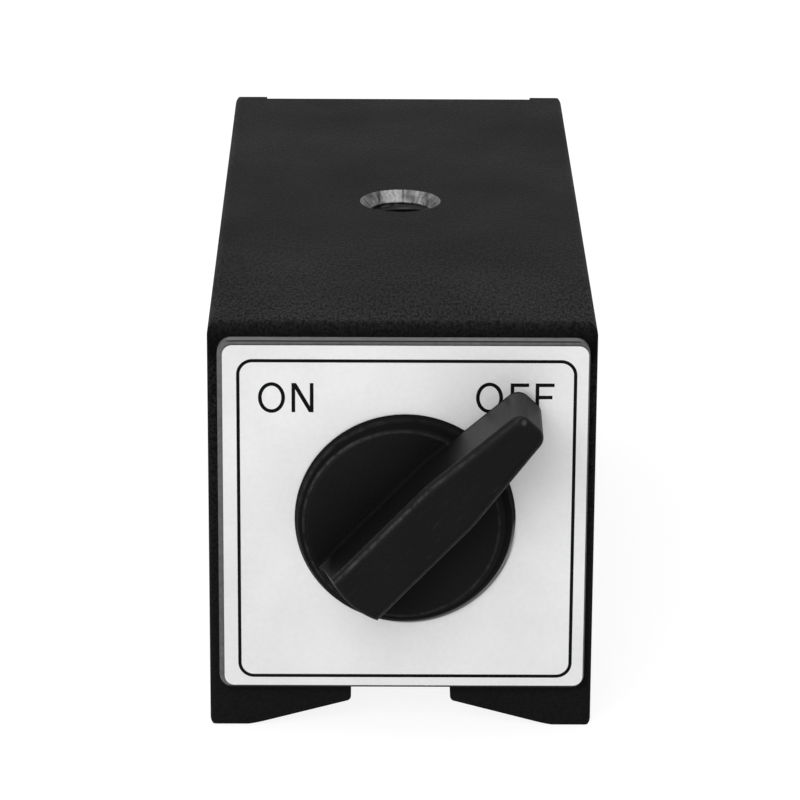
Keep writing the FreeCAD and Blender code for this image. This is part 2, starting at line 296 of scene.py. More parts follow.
@dataclass(frozen=True)
class Finish:
    """A surface finish with fine grain in its tone, gloss and relief.

    Attributes:
        name: the material's name.
        colour: the mean base colour.
        roughness: the mean roughness.
        metallic: 1 for bare metal, 0 for paint or plastic.
        specular: the specular level.
        grains: grains per metre.
        relief: the height of the grain in metres.
        tone: how far the grain changes the colour, as a share.
        gloss: how far the grain and drift change the roughness.
        drifts: slow changes of tone per metre.
        drift_tone: how far they change the colour, as a share.
        lay: the direction of the marks.
    """

    name: str
    colour: Colour
    roughness: float
    metallic: float = 0.0
    specular: float = 0.5
    grains: float = 2500.0
    relief: float = 0.0
    tone: float = 0.0
    gloss: float = 0.05
    drifts: float = 60.0
    drift_tone: float = 0.0
    lay: Lay = Lay.EVEN

    def base_colour(self, nodes: Nodes, grain: Socket, drift: Socket) -> Socket:
        """Works the grain and the drift into the base colour.

        Args:
            nodes: the material's nodes.
            grain: the grain mask.
            drift: the drift mask.

        Returns:
            The colour's socket.
        """
        fine = nodes.step(grain, 0.0, 1.0, 1.0 - self.tone, 1.0 + self.tone)
        slow = nodes.step(drift, 0.0, 1.0, 1.0 - self.drift_tone, 1.0 + self.drift_tone)
        return nodes.scaled(self.colour, nodes.times(fine, slow))

    def surface(self, nodes: Nodes, shader: bpy.types.Node, place: Socket) -> None:
        """Adds what a special finish has beyond its grain. Plain finishes add nothing.

        Args:
            nodes: the material's nodes.
            shader: the material's Principled BSDF.
            place: the object coordinates.
        """

    def build(self, grain_tree: bpy.types.NodeTree) -> bpy.types.Material:
        """Builds the material.

        Args:
            grain_tree: the shared grain group.

        Returns:
            The new material.
        """
        material = bpy.data.materials.new(self.name)
        material.use_nodes = True
        nodes = Nodes(material.node_tree)
        shader = material.node_tree.nodes["Principled BSDF"]
        place = nodes.add("ShaderNodeTexCoord").outputs["Object"]
        laid = nodes.add("ShaderNodeMapping", {"Vector": place, "Scale": self.lay.value}).outputs[0]
        marks = nodes.add("ShaderNodeGroup", node_tree=grain_tree)
        for key, value in (("Grains", self.grains), ("Drifts", self.drifts)):
            marks.inputs[key].default_value = value
        nodes.join(laid, marks.inputs["Place"])
        grain, drift = marks.outputs["Grain"], marks.outputs["Drift"]
        shader.inputs["Metallic"].default_value = self.metallic
        shader.inputs["Specular IOR Level"].default_value = self.specular
        nodes.join(self.base_colour(nodes, grain, drift), shader.inputs["Base Color"])
        mixed = nodes.times(nodes.maths("ADD", grain, drift), 0.5)
        low, high = max(0.02, self.roughness - self.gloss), min(1.0, self.roughness + self.gloss)
        nodes.join(nodes.step(mixed, 0.0, 1.0, low, high), shader.inputs["Roughness"])
        if self.relief:
            bump = nodes.add("ShaderNodeBump", {"Height": grain, "Strength": 1.0, "Distance": self.relief})
            nodes.join(bump.outputs[0], shader.inputs["Normal"])
        self.surface(nodes, shader, place)
        return material


@dataclass(frozen=True)
class BodyPaint(Finish):
    """Grained black paint with painted shade on the top's front edge, cut back to bare steel at the column
    hole and under the feet.

    A ramp gives the two values that it reads between and the two results that it gives there.

    Attributes:
        front: the Y of the front face.
        top: the height of the top face.
        edge_shade_back: how the painted shade of the top's front edge fades behind the front face.
        edge_shade_down: how it comes in below the top face.
        hole_y: where the column hole's axis stands.
        hole_radius: the radius within which the hole and its countersink are bare.
        hole_floor: the height above which they are bare.
        strip: the middle and half the width of the strip between the body's halves.
        seam_half: half the width of the dark line on each side of the strip.
        seam_down: how that line grows dark towards the top face.
        seam: the line's colour.
        ground_height: the height below which the feet are ground bare.
        grit_scale: specks of the paint's coarser grit per metre across the body.
        grit_stretch: how dense they lie along the body, as a share of that.
        grit_back: how the grit fades behind the front face.
        grit_up: how it comes in with the height, as a share of the tone.
        grit_edge: how it fades where the top's front edge has painted shade.
        grit_tone: how a speck changes the tone.
        bare: the bare steel's colour where it is clean and faces the painted light.
        dull_and_shaded: its colour where oil and dust lie, and its painted shade on the side away from the
            painted light.
        streaks: how close its streaks stand round the hole's axis.
        stains: its stains per metre.
        painted_light_side: the direction from the hole's axis in which the countersink gets painted light.
        painted_light: how painted light makes the steel brighter as it faces that way.
        bare_tone: how streaks, stains and the painted light together give its colour.
        bare_roughness: its roughness.
    """

    front: float = 0.0
    top: float = 55.0 * MM
    edge_shade_back: Ramp = (0.35 * MM, 3.5 * MM, 0.55, 0.0)
    edge_shade_down: Ramp = (-4.9 * MM, -3.5 * MM, 0.0, 1.0)
    hole_y: float = 0.0
    hole_radius: float = 5.655 * MM
    hole_floor: float = 44.0 * MM
    strip: tuple[float, float] = (0.0, 1.5 * MM)
    seam_half: float = 0.22 * MM
    seam_down: Ramp = (-1.5 * MM, -0.3 * MM, 0.3, 0.9)
    seam: Colour = (0.01, 0.01, 0.01)
    ground_height: float = 0.05 * MM
    grit_scale: float = 3200.0
    grit_stretch: float = 0.3
    grit_back: Ramp = (5.0 * MM, 48.0 * MM, 1.0, 0.18)
    grit_up: Ramp = (11.0 * MM, 49.5 * MM, 0.0, 0.6)
    grit_edge: Ramp = (0.0, 0.55, 1.0, 0.35)
    grit_tone: Ramp = (0.36, 0.64, -1.0, 1.0)
    bare: Colour = (0.25, 0.25, 0.25)
    dull_and_shaded: Colour = (0.07, 0.07, 0.07)
    streaks: float = 7.0
    stains: float = 620.0
    painted_light_side: Way = (-0.28, 0.96, 0.0)
    painted_light: Ramp = (0.93, 0.99, -0.06, 0.26)
    bare_tone: tuple[float, float] = (0.78, 1.28)
    bare_roughness: float = 0.42

    def surface(self, nodes: Nodes, shader: bpy.types.Node, place: Socket) -> None:
        """Lays the grit and the painted shade of the top's front edge over the paint, and bare steel where it
        is cut back.

        Args:
            nodes: the material's nodes.
            shader: the material's Principled BSDF.
            place: the object coordinates.
        """
        x, y, z = nodes.split(place)
        flat = nodes.add("ShaderNodeCombineXYZ", {0: x, 1: y}).outputs[0]
        # painted shade: the top's front edge is darkened in its colour and its specular level
        painted_edge = nodes.times(nodes.step(y, *moved(self.edge_shade_back, self.front)),
                           nodes.step(z, *moved(self.edge_shade_down, self.top)))
        # painted sparkle: the grit's specks lighten and darken the paint's tone, most at the top's front
        sparkle = self.sparkle(nodes, place, painted_edge)
        base = shader.inputs["Base Color"]
        nodes.join(nodes.scaled(base.links[0].from_socket, sparkle), base)
        nodes.overlay(shader, painted_edge, BLACK)
        nodes.join(nodes.times(nodes.step(painted_edge, 0.0, 1.0, self.specular, 0.0), sparkle),
                   shader.inputs["Specular IOR Level"])
        radius = nodes.measure("DISTANCE", flat, (0.0, self.hole_y, 0.0))
        hole = nodes.times(nodes.maths("LESS_THAN", radius, self.hole_radius),
                           nodes.maths("GREATER_THAN", z, self.hole_floor))
        mask = nodes.maths("MAXIMUM", hole, nodes.maths("LESS_THAN", z, self.ground_height))
        aside = nodes.maths("ABSOLUTE", nodes.maths("SUBTRACT", x, self.strip[0]))
        off = nodes.maths("ABSOLUTE", nodes.maths("SUBTRACT", aside, self.strip[1]))
        line = nodes.times(nodes.step(off, 0.0, self.seam_half, 1.0, 0.0),
                           nodes.step(z, *moved(self.seam_down, self.top)))
        bare = nodes.blend(line, self.steel(nodes, place, flat), rgba(self.seam))
        colour = nodes.blend(mask, base.links[0].from_socket, bare)
        gloss = shader.inputs["Roughness"].links[0].from_socket
        rough = nodes.add("ShaderNodeMix", {0: mask, 2: gloss, 3: self.bare_roughness}).outputs[0]
        for source, name in ((colour, "Base Color"), (rough, "Roughness"), (mask, "Metallic")):
            nodes.join(source, shader.inputs[name])

    def sparkle(self, nodes: Nodes, place: Socket, painted_edge: Socket) -> Socket:
        """Makes the coarser grit, which shows most at the top's front: the paint's real grain, its specks
        painted lighter and darker as painted sparkle.

        Args:
            nodes: the material's nodes.
            place: the object coordinates.
            painted_edge: the mask of the painted shade on the top's front edge.

        Returns:
            The factor by which the grit changes the tone.
        """
        y, z = nodes.split(place)[1:]
        stretch = (1.0, self.grit_stretch, 1.0)
        drawn = nodes.add("ShaderNodeMapping", {"Vector": place, "Scale": stretch}).outputs[0]
        specks = nodes.step(nodes.noise(drawn, self.grit_scale, 1.5), *self.grit_tone)
        shown = nodes.times(nodes.step(y, *moved(self.grit_back, self.front)), nodes.step(z, *self.grit_up))
        shown = nodes.times(shown, nodes.step(painted_edge, *self.grit_edge))
        return nodes.maths("ADD", 1.0, nodes.times(shown, specks))

    def steel(self, nodes: Nodes, place: Socket, flat: Socket) -> Socket:
        """Makes the bare steel's colour, with painted light on one side of the countersink.

        Args:
            nodes: the material's nodes.
            place: the object coordinates.
            flat: the same without the height.

        Returns:
            The colour's socket.
        """
        ray = nodes.vector("NORMALIZE", nodes.vector("SUBTRACT", flat, (0.0, self.hole_y, 0.0)))
        marks = nodes.maths("ADD", nodes.noise(ray, self.streaks, 3.0), nodes.noise(place, self.stains, 3.0))
        # painted light: the steel is brighter where it faces one side and darker where it faces away
        lit_facing = nodes.step(nodes.measure("DOT_PRODUCT", ray, self.painted_light_side), *self.painted_light)
        tone = nodes.step(nodes.maths("ADD", marks, lit_facing), *self.bare_tone)
        return nodes.blend(tone, rgba(self.dull_and_shaded), rgba(self.bare))


@dataclass(frozen=True)
class SheetMetal(Finish):
    """Sheet metal with painted shade along its edges.

    Attributes:
        face: the Y of the sheet's front face.
        levels: the heights at which the front face is edged with painted shade.
        line: the width of that painted shade.
        side: how far behind the front face the sides painted in shade start.
        shade_colour: the colour of the painted shade on the edges and sides.
        axis: the X and Z of the knob in front of the sheet.
        knob_shadow: how the painted shadow beside the knob ends with the distance from its axis, where there
            is one.
        knob_shadow_side: the direction from the axis in which it lies.
        knob_shadow_ends: how it comes in with the distance in that direction.
    """

    face: float = 0.0
    levels: tuple[float, ...] = ()
    line: float = 0.16 * MM
    side: float = 1.0
    shade_colour: Colour = (0.012, 0.012, 0.012)
    axis: tuple[float, float] = (0.0, 0.0)
    knob_shadow: Ramp | None = None
    knob_shadow_side: Way = (0.6, 0.0, -0.8)
    knob_shadow_ends: tuple[float, float] = (9.5 * MM, 13.0 * MM)

    def surface(self, nodes: Nodes, shader: bpy.types.Node, place: Socket) -> None:
        """Paints shade on the edges and sides, and a painted shadow on the sheet beside the knob's lower
        right.

        Args:
            nodes: the material's nodes.
            shader: the material's Principled BSDF.
            place: the object coordinates.
        """
        y, z = nodes.split(place)[1:]
        # painted shade: the sheet's sides, and its front face at the set heights, are darkened
        sides = nodes.maths("GREATER_THAN", y, self.face + self.side)
        near = nodes.maths("LESS_THAN", y, self.face + self.line)
        for level in self.levels:
            off = nodes.maths("ABSOLUTE", nodes.maths("SUBTRACT", z, level))
            sides = nodes.maths("MAXIMUM", sides, nodes.times(near, nodes.maths("LESS_THAN", off, self.line)))
        if self.knob_shadow:
            # painted shadow: a grey ring on the sheet round the knob at its lower right
            away = nodes.vector("SUBTRACT", place, (self.axis[0], self.face, self.axis[1]))
            close = nodes.step(nodes.measure("LENGTH", away), *self.knob_shadow)
            lower = nodes.step(nodes.measure("DOT_PRODUCT", away, self.knob_shadow_side), *self.knob_shadow_ends)
            nodes.overlay(shader, nodes.times(close, lower), self.shade_colour)
        nodes.overlay(shader, sides, self.shade_colour)


@dataclass(frozen=True)
class RecessedZinc(Finish):
    """Plated steel with painted shade at the bottom of a recess.

    Attributes:
        face: the Y of the face that the recess is cut into, on the +Y side.
        shallow: the depth down to which no shade is painted.
        deep: the depth from which the painted shade is full.
        shade_colour: the painted shade's colour there.
    """

    face: float = 0.0
    shallow: float = 0.12 * MM
    deep: float = 0.6 * MM
    shade_colour: Colour = (0.05, 0.05, 0.05)

    def surface(self, nodes: Nodes, shader: bpy.types.Node, place: Socket) -> None:
        """Paints shade into the recess.

        Args:
            nodes: the material's nodes.
            shader: the material's Principled BSDF.
            place: the object coordinates.
        """
        y = nodes.split(place)[1]
        # painted shade: darker towards the bottom of the recess
        mask = nodes.step(y, self.face - self.deep, self.face - self.shallow, 1.0, 0.0)
        nodes.overlay(shader, mask, self.shade_colour)


@dataclass(frozen=True)
class KnobPlace:
    """Where a point of the knob lies, each value as a socket.

    Attributes:
        place: the object coordinates.
        flat: the same from the turning axis, without the depth.
        along: the distance along the bar.
        across: the distance across it.
        width: the same on either side of the bar's middle, with its taper taken out.
        reach: the distance from the axis.
        depth: the coordinate along the axis.
        ahead: 1 on the bar's front.
        behind: 1 on the disc.
    """

    place: Socket
    flat: Socket
    along: Socket
    across: Socket
    width: Socket
    reach: Socket
    depth: Socket
    ahead: Socket
    behind: Socket


@dataclass(frozen=True)
class KnobPlastic(Finish):
    """Black moulded plastic: painted highlights and faint scratches on the knob's edges, painted shade on its
    rim and beside the bar, and a painted reflection on the rim.

    A ramp gives the two values that it reads between and the two results that it gives there.

    Attributes:
        axis: the turning axis's X and Z.
        front: the Y of the bar's front.
        turn_deg: the bar's angle at rest, up from +X.
        bar_front: how deep the bar's front reaches over its rounded edges.
        disc_front: the depth behind which the disc starts.
        half: half the bar's width.
        knee: where the bar starts to taper, from the axis.
        taper_deg: the angle of the taper on each side.
        face_line: from the bar's side to the painted highlight line on its front, and its strength.
        side_line: from the bar's front to the painted highlight line on its side, and its strength.
        tail_line: from the axis to the painted highlight line at the bar's short end, and its strength.
        line_half: half the width of a painted highlight line.
        breaks: the breaks in a painted highlight line per metre.
        highlight_fade_along: how the bar's first two lines fade towards the nose.
        highlight_fade_across: how they fade towards the bar's lower side.
        rings: the radius, the shift along X and the strength of each painted highlight ring on the disc's
            edges.
        ring_up: how the rings fade with the height.
        upper_left: the direction in which they are painted brighter once more.
        ring_left: how that wear comes in.
        nose_glint: the place and radius of a painted glint at the nose.
        nose_glint_core: the radius within which it is brightest.
        corner_along: how the painted highlight on the corner at the short end ends along the bar.
        corner_across: how it comes in across the bar.
        scratch_stretch: a scratch's width as a share of its length.
        scratch_scale: scratches per metre across the bar.
        scratch_tone: how strong they are.
        rim_shade_range: where the disc's rim is painted in shade and given less specular, by its radius.
        rim_shade_colour: the colour of the rim's painted shade.
        rim_specular: its specular level.
        lower_right: the direction in which the rim gets its painted reflection.
        reflection_side: how the painted reflection comes in that way.
        reflection_start: the radius where it starts, by the height.
        reflection_soft: the width over which it starts.
        reflection_gloss: how the specular level comes in by the radius.
        reflection_specular: how much it adds.
        hollow_shade_reach: how the painted shade in the hollow beside the bar ends with the distance from the
            axis.
        hollow_shade_depth: how it comes in behind the bar's front.
        hollow_shade_width: how it fades away from the bar's upper side.
        hollow_shade_inset: how far inside that side it starts.
        wear_tree: the shared group of painted highlight lines.
        worn: the colour of the painted highlights and of the scratches.
        reflection_colour: the colour of the rim's painted reflection.
    """

    axis: tuple[float, float] = (0.0, 0.0)
    front: float = 0.0
    turn_deg: float = 46.5
    bar_front: float = 0.6 * MM
    disc_front: float = 9.7 * MM
    half: float = 4.03 * MM
    knee: float = 8.0 * MM
    taper_deg: float = 6.0
    face_line: tuple[float, float] = (0.45 * MM, 0.85)
    side_line: tuple[float, float] = (1.1 * MM, 0.4)
    tail_line: tuple[float, float] = (10.4 * MM, 0.9)
    line_half: float = 0.24 * MM
    breaks: float = 900.0
    highlight_fade_along: Ramp = (4.0 * MM, 18.0 * MM, 1.0, 0.3)
    highlight_fade_across: Ramp = (-1.0 * MM, 1.0 * MM, 0.45, 1.0)
    rings: tuple[tuple[float, float, float], ...] = ((12.6 * MM, -0.5 * MM, 0.5), (13.8 * MM, 0.0, 0.22))
    ring_up: Ramp = (3.0 * MM, 11.0 * MM, 1.0, 0.45)
    upper_left: Way = (-0.7, 0.0, 0.7)
    ring_left: Ramp = (10.5 * MM, 13.5 * MM, 0.0, 1.1)
    nose_glint: tuple[float, float, float] = (14.7 * MM, 17.3 * MM, 0.45 * MM)
    nose_glint_core: float = 0.1 * MM
    corner_along: Ramp = (-11.6 * MM, -9.4 * MM, 1.0, 0.0)
    corner_across: Ramp = (2.8 * MM, 4.2 * MM, 0.0, 0.55)
    scratch_stretch: float = 0.18
    scratch_scale: float = 1500.0
    scratch_tone: Ramp = (0.61, 0.74, 0.0, 0.12)
    rim_shade_range: tuple[float, float] = (12.7 * MM, 13.1 * MM)
    rim_shade_colour: Colour = (0.006, 0.006, 0.006)
    rim_specular: float = 0.01
    lower_right: Way = (0.64, 0.0, -0.77)
    reflection_side: tuple[float, float] = (9.0 * MM, 12.5 * MM)
    reflection_start: Ramp = (-11.0 * MM, -4.0 * MM, 13.45 * MM, 13.85 * MM)
    reflection_soft: float = 0.12 * MM
    reflection_gloss: tuple[float, float] = (13.8 * MM, 13.95 * MM)
    reflection_specular: float = 0.6
    hollow_shade_reach: Ramp = (12.0 * MM, 14.5 * MM, 1.0, 0.0)
    hollow_shade_depth: Ramp = (0.9 * MM, 1.6 * MM, 0.0, 1.0)
    hollow_shade_width: Ramp = (0.0, 8.0 * MM, 0.52, 0.0)
    hollow_shade_inset: float = 0.3 * MM
    wear_tree: bpy.types.NodeTree | None = None
    worn: Colour = (0.055, 0.055, 0.057)
    reflection_colour: Colour = (0.16, 0.16, 0.16)

    def surface(self, nodes: Nodes, shader: bpy.types.Node, place: Socket) -> None:
        """Paints shade on the rim and in the hollow beside the bar, and lays the painted highlights with the
        scratches and the rim's painted reflection over them.

        Args:
            nodes: the material's nodes.
            shader: the material's Principled BSDF.
            place: the object coordinates.
        """
        at = self.locate(nodes, place)
        up = nodes.split(at.flat)[2]
        # painted shade on the disc's rim
        rim_shade = nodes.times(nodes.step(at.reach, *self.rim_shade_range), at.behind)
        # painted shade in the hollow beside the bar's upper side
        shade = self.hollow_shade(nodes, at)
        # painted reflection: a light band on the rim's outer edge at its lower right
        low_right = nodes.times(
            nodes.step(nodes.measure("DOT_PRODUCT", at.flat, self.lower_right), *self.reflection_side), at.behind)
        past = nodes.maths("SUBTRACT", at.reach, nodes.step(up, *self.reflection_start))
        painted_light = nodes.times(nodes.step(past, 0.0, self.reflection_soft), low_right)
        # layers: painted shade on the rim and in the hollow, painted highlights with the real scratches, and
        # the rim's painted reflection
        layers = ((rim_shade, self.rim_shade_colour), (shade, BLACK), (self.wear(nodes, at, up), self.worn),
                  (painted_light, self.reflection_colour))
        for mask, colour in layers:
            nodes.overlay(shader, mask, colour)
        level = nodes.times(nodes.step(rim_shade, 0.0, 1.0, self.specular, self.rim_specular),
                            nodes.maths("SUBTRACT", 1.0, shade))
        gloss = nodes.times(nodes.step(at.reach, *self.reflection_gloss, 0.0, self.reflection_specular), low_right)
        nodes.join(nodes.maths("ADD", level, gloss), shader.inputs["Specular IOR Level"])

    def locate(self, nodes: Nodes, place: Socket) -> KnobPlace:
        """Works out where a point lies on the knob.

        Args:
            nodes: the material's nodes.
            place: the object coordinates.

        Returns:
            The point's place, seen from the axis and from the bar.
        """
        depth = nodes.split(place)[1]
        centred = nodes.vector("SUBTRACT", place, (self.axis[0], 0.0, self.axis[1]))
        flat = nodes.vector("MULTIPLY", centred, (1.0, 0.0, 1.0))
        cosine, sine = math.cos(math.radians(self.turn_deg)), math.sin(math.radians(self.turn_deg))
        along = nodes.measure("DOT_PRODUCT", flat, (cosine, 0.0, sine))
        across = nodes.measure("DOT_PRODUCT", flat, (-sine, 0.0, cosine))
        past = nodes.maths("MAXIMUM", nodes.maths("SUBTRACT", along, self.knee), 0.0)
        narrowed = nodes.times(past, math.tan(math.radians(self.taper_deg)))
        return KnobPlace(
            place=place, flat=flat, along=along, across=across,
            width=nodes.maths("ADD", nodes.maths("ABSOLUTE", across), narrowed),
            reach=nodes.measure("LENGTH", flat), depth=depth,
            ahead=nodes.maths("LESS_THAN", depth, self.front + self.bar_front),
            behind=nodes.maths("GREATER_THAN", depth, self.front + self.disc_front))

    def line(self, nodes: Nodes, at: KnobPlace, coordinate: Socket, value: float, amount: float) -> Socket:
        """Makes one painted highlight line, broken up like a scuff.

        Args:
            nodes: the material's nodes.
            at: where the point lies.
            coordinate: the coordinate that the line is set by.
            value: the coordinate's value on the line.
            amount: how strong the highlight is.

        Returns:
            The line's mask.
        """
        wanted = {"Lit At": value, "Half Width": self.line_half, "Breaks": self.breaks, "Amount": amount,
                  "Place": at.place, "Coordinate": coordinate}
        return nodes.add("ShaderNodeGroup", wanted, node_tree=self.wear_tree).outputs["Highlight"]

    def wear(self, nodes: Nodes, at: KnobPlace, up: Socket) -> Socket:
        """Gathers the painted highlights on the bar's edges, short end and nose and on the disc's rings, and
        the bar's scratches.

        Args:
            nodes: the material's nodes.
            at: where the point lies.
            up: its height over the axis.

        Returns:
            The mask of all the painted highlights and scratches.
        """
        # painted highlights along the bar's edges, its short end and the disc's rings; the scratches are real
        # wear
        highlight_fade = nodes.times(nodes.step(at.along, *self.highlight_fade_along), nodes.step(at.across, *self.highlight_fade_across))
        side = self.line(nodes, at, at.depth, self.front + self.side_line[0], self.side_line[1])
        painted_edge = self.line(nodes, at, at.width, self.half - self.face_line[0], self.face_line[1])
        tail = self.line(nodes, at, at.along, -self.tail_line[0], self.tail_line[1])
        # painted glint at the nose's corner
        glint_distance = nodes.measure("DISTANCE", at.flat, (self.nose_glint[0], 0.0, self.nose_glint[1]))
        # painted highlight on the upper corner of the bar's short end
        corner = nodes.times(nodes.step(at.along, *self.corner_along),
                             nodes.step(at.across, *self.corner_across))
        masks = [
            nodes.times(side, highlight_fade), nodes.times(nodes.times(painted_edge, at.ahead), highlight_fade),
            nodes.times(tail, at.ahead), nodes.times(self.scratches(nodes, at), at.ahead),
            nodes.times(nodes.step(glint_distance, self.nose_glint_core, self.nose_glint[2], 1.0, 0.0), at.ahead),
            nodes.times(corner, nodes.maths("SUBTRACT", 1.0, at.behind))]
        left = nodes.step(nodes.measure("DOT_PRODUCT", at.flat, self.upper_left), *self.ring_left)
        fading = nodes.times(at.behind, nodes.maths("ADD", nodes.step(up, *self.ring_up), left))
        for ring, shift, amount in self.rings:
            radius = nodes.measure("DISTANCE", at.flat, (shift, 0.0, 0.0))
            masks.append(nodes.times(self.line(nodes, at, radius, ring, amount), fading))
        total = masks[0]
        for mask in masks[1:]:
            total = nodes.maths("MAXIMUM", total, mask)
        return total

    def scratches(self, nodes: Nodes, at: KnobPlace) -> Socket:
        """Makes faint scratches that run with the bar.

        Args:
            nodes: the material's nodes.
            at: where the point lies.

        Returns:
            The scratches' mask.
        """
        drawn = nodes.times(at.along, self.scratch_stretch)
        place = nodes.add("ShaderNodeCombineXYZ", {0: drawn, 1: at.across}).outputs[0]
        return nodes.step(nodes.noise(place, self.scratch_scale, 2.0), *self.scratch_tone)

    def hollow_shade(self, nodes: Nodes, at: KnobPlace) -> Socket:
        """Makes the painted shade in the hollow between the disc and the bar's upper side.

        Args:
            nodes: the material's nodes.
            at: where the point lies.

        Returns:
            How far the painted shade darkens it.
        """
        beside = nodes.times(nodes.maths("GREATER_THAN", at.across, 0.0),
                             nodes.maths("GREATER_THAN", at.width, self.half - self.hollow_shade_inset))
        inner = nodes.times(nodes.step(at.reach, *self.hollow_shade_reach),
                            nodes.step(at.depth, *moved(self.hollow_shade_depth, self.front)))
        fading = nodes.step(at.width, *moved(self.hollow_shade_width, self.half))
        return nodes.times(nodes.times(beside, inner), fading)


class Finishes:
    """Every finish of the base, built once and handed out by name."""

    def __init__(self, hole_y: float) -> None:
        """Builds the shared groups and the materials.

        Args:
            hole_y: where the column hole's axis stands.
        """
        grain, wear = grain_group(), edge_wear_group()
        low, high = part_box("spindle")
        knob_axis = ((low.x + high.x) / 2, (low.z + high.z) / 2)
        low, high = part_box("top_spacer")
        strip_place = ((low.x + high.x) / 2, (high.x - low.x) / 2)
        plate_low, plate_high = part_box("front_plate")
        wanted = [
            BodyPaint("body_paint", (0.0086, 0.0086, 0.0089), 0.60, specular=0.024, grains=2400.0,
                      relief=0.11 * MM, tone=0.25, gloss=0.12, drift_tone=0.07,
                      front=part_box("left_pole")[0].y, hole_y=hole_y, strip=strip_place),
            Finish("soft_iron", (0.42, 0.42, 0.43), 0.38, metallic=1.0, tone=0.10, lay=Lay.LENGTHWISE),
            Finish("seam_brass", (0.10, 0.085, 0.055), 0.5, metallic=1.0, tone=0.12, lay=Lay.LENGTHWISE),
            SheetMetal("plate_steel", (0.105, 0.105, 0.107), 0.5, metallic=0.6, grains=1100.0,
                       relief=0.008 * MM, tone=0.2, gloss=0.08, drift_tone=0.12,
                       face=plate_low.y, levels=(plate_low.z, plate_high.z)),
            SheetMetal("label_aluminium", (0.80, 0.80, 0.805), 0.42, metallic=0.35, grains=1500.0,
                       relief=0.003 * MM, tone=0.02, gloss=0.06, drifts=75.0, drift_tone=0.045,
                       face=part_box("front_label")[0].y, side=0.02 * MM, axis=knob_axis,
                       knob_shadow=(14.4 * MM, 14.6 * MM, 0.85, 0.0)),
            Finish("print_black", (0.004, 0.004, 0.004), 0.55, specular=0.05, tone=0.1),
            Finish("bearing_bronze", (0.55, 0.38, 0.20), 0.32, metallic=1.0, tone=0.08),
            Finish("spindle_steel", (0.50, 0.50, 0.51), 0.25, metallic=1.0, tone=0.06, lay=Lay.LENGTHWISE),
            Finish("spring_steel", (0.16, 0.16, 0.17), 0.35, metallic=1.0),
            Finish("cap_brass", (0.66, 0.53, 0.27), 0.30, metallic=1.0, tone=0.06),
            Finish("ferrite", (0.035, 0.035, 0.038), 0.7, grains=1500.0, relief=0.02 * MM, tone=0.25),
            KnobPlastic("knob_plastic", (0.0095, 0.0095, 0.0098), 0.42, specular=0.042, grains=3200.0,
                        relief=0.012 * MM, tone=0.18, gloss=0.08, drift_tone=0.15, axis=knob_axis,
                        front=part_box("knob")[0].y, wear_tree=wear),
            RecessedZinc("zinc_screw", (0.46, 0.46, 0.47), 0.33, metallic=1.0, tone=0.08,
                         face=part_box("rear_plate")[1].y),
            Finish("thread_steel", (0.028, 0.028, 0.028), 0.45, metallic=1.0, tone=0.12)]
        self.materials = {finish.name: finish.build(grain) for finish in wanted}

    def coat(self, thing: bpy.types.Object, name: str) -> None:
        """Gives a piece one finish all over.

        Args:
            thing: the piece.
            name: the finish's name.
        """
        thing.data.materials.clear()
        thing.data.materials.append(self.materials[name])
        for polygon in thing.data.polygons:
            polygon.material_index = 0


def new_piece(name: str, mesh: bpy.types.Mesh) -> bpy.types.Object:
    """Puts a mesh in the scene as an object at the origin.

    Args:
        name: the piece's name.
        mesh: its mesh, in place.

    Returns:
        The new object.
    """
    thing = bpy.data.objects.new(name, mesh)
    bpy.context.scene.collection.objects.link(thing)
    return thing


def mesh_of(build: bmesh.types.BMesh, name: str, smooth: bool = False) -> bpy.types.Mesh:
    """Turns a finished bmesh into a mesh with its faces outwards.

    Args:
        build: the bmesh, which is freed.
        name: the mesh's name.
        smooth: shade it smooth.

    Returns:
        The mesh.
    """
    bmesh.ops.recalc_face_normals(build, faces=build.faces)
    for face in build.faces:
        face.smooth = smooth
    mesh = bpy.data.meshes.new(name)
    build.to_mesh(mesh)
    build.free()
    return mesh


def band(build: bmesh.types.BMesh, rows: Sequence[Sequence[bmesh.types.BMVert]]) -> None:
    """Joins closed rows of points, and the last row with the first, into a ring.

    Args:
        build: the bmesh that takes it.
        rows: the rows, each with as many points.
    """
    count = len(rows[0])
    for a, b in zip(rows, [*rows[1:], rows[0]]):
        for i in range(count):
            j = (i + 1) % count
            build.faces.new((a[i], a[j], b[j], b[i]))


def strip(build: bmesh.types.BMesh, inner: Sequence[Vector], outer: Sequence[Vector], back: Vector) -> None:
    """Adds a closed flat ring between two outlines, with a small thickness.

    Args:
        build: the bmesh that takes it.
        inner: the inner outline's front points.
        outer: the outer outline's front points.
        back: the step from the front to the back.
    """
    lines = (inner, outer, [p + back for p in outer], [p + back for p in inner])
    band(build, [[build.verts.new(p) for p in line] for line in lines])


def slab(build: bmesh.types.BMesh, corners: Sequence[Vector], back: Vector) -> None:
    """Adds a thin solid with a flat outline.

    Args:
        build: the bmesh that takes it.
        corners: the front outline.
        back: the step from the front to the back.
    """
    front = [build.verts.new(p) for p in corners]
    rear = [build.verts.new(p + back) for p in corners]
    build.faces.new(front)
    build.faces.new(rear[::-1])
    for i in range(len(front)):
        j = (i + 1) % len(front)
        build.faces.new((front[j], front[i], rear[i], rear[j]))


def applied(thing: bpy.types.Object, name: str) -> bpy.types.Object:
    """Turns an object with a modifier into a plain one.

    Args:
        thing: the object, which is removed.
        name: the plain object's name.

    Returns:
        The plain object at the origin.
    """
    graph = bpy.context.evaluated_depsgraph_get()
    mesh = bpy.data.meshes.new_from_object(thing.evaluated_get(graph))
    mesh.name = name
    thing.modifiers.clear()
    bpy.data.objects.remove(thing)
    return new_piece(name, mesh)


